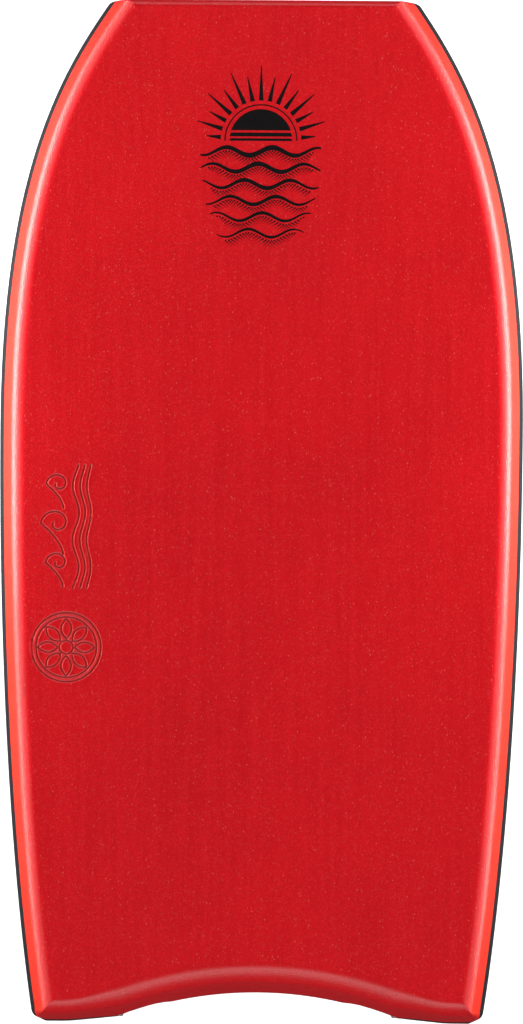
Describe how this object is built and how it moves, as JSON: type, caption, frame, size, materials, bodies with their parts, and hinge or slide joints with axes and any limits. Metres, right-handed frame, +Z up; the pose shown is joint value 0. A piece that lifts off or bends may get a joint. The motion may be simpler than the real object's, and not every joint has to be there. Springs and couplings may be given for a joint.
{
  "type": "bodyboard",
  "caption": "Laminated foam bodyboard with a crescent tail, red deck skin, contrasting foam rails and an internal carbon stringer.",
  "frame": {"origin": "under the middle of the board, on the flat of the slick that it rests on", "axes": "+Y towards the nose, +Z up out of the deck, +X to the rider's right"},
  "size_m": [0.546, 1.067, 0.0839],
  "materials": {
    "deck_foam": "red closed-cell polyethylene foam, fine pebbled grain",
    "rail_foam": "charcoal closed-cell foam",
    "print_ink": "black screen-printed ink on the deck",
    "core_foam": "white expanded polypropylene bead foam",
    "slick_plastic": "smooth pale high-density polyethylene sheet",
    "mesh_plastic": "woven plastic mesh laminated to the core",
    "carbon": "carbon fibre tube",
    "cap_plastic": "moulded plastic cap"
  },
  "bodies": {
    "root": {"core": "core_foam", "stringer_tube": "carbon", "stringer_cap_front": "cap_plastic", "stringer_cap_rear": "cap_plastic", "stringer_plug": "core_foam", "bottom_mesh": "mesh_plastic", "slick": "slick_plastic", "deck_skin": "deck_foam", "lower_rail_right": "rail_foam", "lower_rail_left": "rail_foam", "upper_rail_right": "rail_foam", "upper_rail_left": "rail_foam", "nose_bumper": "deck_foam", "tail_bumper": "deck_foam"}
  },
  "joints": []
}
